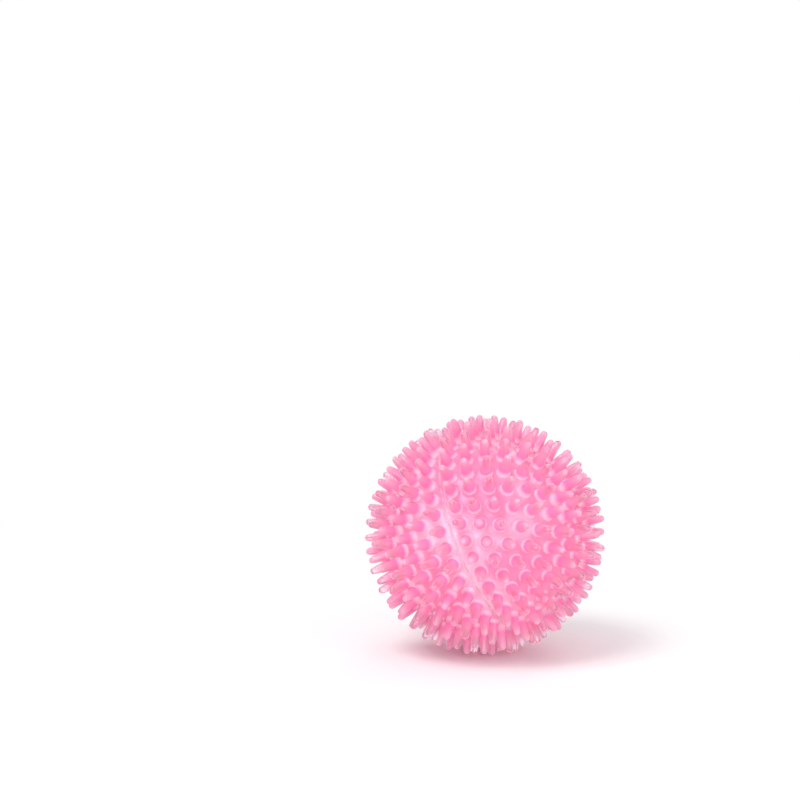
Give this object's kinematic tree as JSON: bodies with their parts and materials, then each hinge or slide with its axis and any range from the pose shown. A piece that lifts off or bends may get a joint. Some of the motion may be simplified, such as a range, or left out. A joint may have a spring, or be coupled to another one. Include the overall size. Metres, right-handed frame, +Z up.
{
  "type": "spiky ball",
  "caption": "Hollow squeezable rubber ball covered in blunt spikes, moulded as two halves bonded along a ridged seam, with a reed squeaker set in one pole.",
  "frame": {"origin": "on the floor, under the ball's centre: the middle of the bottom of the bounding box", "axes": "+Z up; +X is the level direction towards which the mould axis leans up, on the side of the half without the squeaker; the XZ plane is a plane of symmetry"},
  "size_m": [0.0796, 0.0792, 0.0789],
  "materials": {
    "pink_rubber": "gloss",
    "white_plastic": "satin",
    "reed_plastic": "satin",
    "reed_film": "gloss"
  },
  "bodies": {
    "ball": {"plain_half_shell": "pink_rubber", "socket_half_shell": "pink_rubber", "squeaker_housing": "white_plastic", "squeaker_cap": "white_plastic", "reed_base": "reed_plastic", "reed_wedge": "reed_plastic"},
    "reed": {"reed": "reed_film"}
  },
  "joints": [
    {"name": "reed_flutter", "type": "hinge", "parent": "ball", "child": "reed", "pos_m": [-0.02289, 0, 0.02916], "axis": [0, 1, 0], "range_deg": [-3, 6], "stiffness_Nm_per_rad": 0.002}
  ]
}
